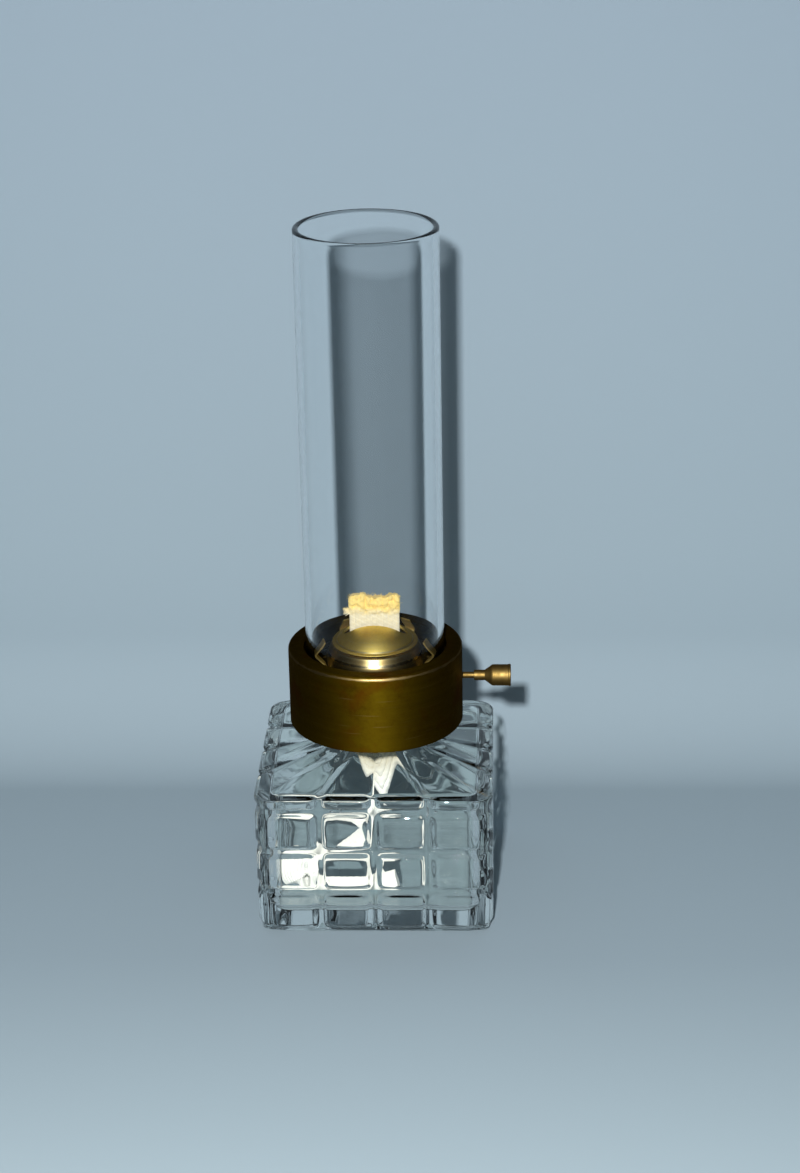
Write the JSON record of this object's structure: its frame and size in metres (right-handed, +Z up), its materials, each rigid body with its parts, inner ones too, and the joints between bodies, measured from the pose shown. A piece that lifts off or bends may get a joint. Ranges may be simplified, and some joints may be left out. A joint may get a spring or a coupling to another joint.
{
  "type": "miniature oil lamp",
  "caption": "Miniature oil lamp: square pressed glass font, screw-on brass burner with wick knob, bronze gallery drum and straight lift-off glass chimney.",
  "frame": {"origin": "centre of the font's flat underside, on the lamp's axis", "axes": "+Z up along the lamp's axis, +X towards the wick knob, -Y the front, which the picture shows"},
  "size_m": [0.0646, 0.06, 0.1768],
  "materials": {
    "font_glass": "clear pressed glass, fire-polished, faintly grey-green",
    "chimney_glass": "clear drawn glass with fire-polished rims",
    "cork": "pressed cork",
    "drum_bronze": "dark antique bronze, satin, brown to olive",
    "satin_brass": "satin spun brass, slightly tarnished",
    "bright_brass": "polished turned brass",
    "dull_brass": "dull pressed sheet brass, darkened",
    "spring_brass": "thin spring brass strip",
    "cotton": "woven cotton wick, cream, toasted at the burnt end"
  },
  "bodies": {
    "font": {"glass_font": "font_glass"},
    "gasket": {"neck_gasket": "cork"},
    "burner": {"burner_cap": "dull_brass", "burner_barrel": "satin_brass", "gallery_drum": "drum_bronze", "air_plate": "dull_brass", "flame_dome": "satin_brass", "wick_tube": "dull_brass", "spindle_bracket": "dull_brass", "chimney_spring_1": "spring_brass", "chimney_spring_2": "spring_brass", "chimney_spring_3": "spring_brass", "chimney_spring_4": "spring_brass", "wick_tail": "cotton"},
    "spindle": {"wick_spindle": "bright_brass", "wick_wheel_left": "dull_brass", "wick_wheel_right": "dull_brass", "spindle_collar": "dull_brass", "wick_knob": "bright_brass"},
    "wick": {"wick": "cotton"},
    "chimney": {"chimney_glass": "chimney_glass"}
  },
  "joints": [
    {"name": "burner_rise", "type": "slide", "parent": "font", "child": "gasket", "axis": [0, 0, 1], "range_m": [0, 0.0038]},
    {"name": "burner_turn", "type": "hinge", "parent": "gasket", "child": "burner", "pos_m": [0, 0, 0.0472], "axis": [0, 0, 1], "range_deg": [0, 540]},
    {"name": "knob_turn", "type": "hinge", "parent": "burner", "child": "spindle", "pos_m": [0, 0.0033, 0.0577], "axis": [-1, 0, 0], "range_deg": [-222, 79]},
    {"name": "wick_rise", "type": "slide", "parent": "burner", "child": "wick", "axis": [0, 0, 1], "range_m": [-0.0085, 0.003], "deforming": ["wick_tail"]},
    {"name": "chimney_lift", "type": "slide", "parent": "burner", "child": "chimney", "axis": [0, 0, 1], "range_m": [0, 0.04]}
  ],
  "couplings": [
    {"joint": "burner_rise", "follows": "burner_turn", "m_per_rad": 0.00039789},
    {"joint": "knob_turn", "follows": "wick_rise", "rad_per_m": 454.55}
  ]
}
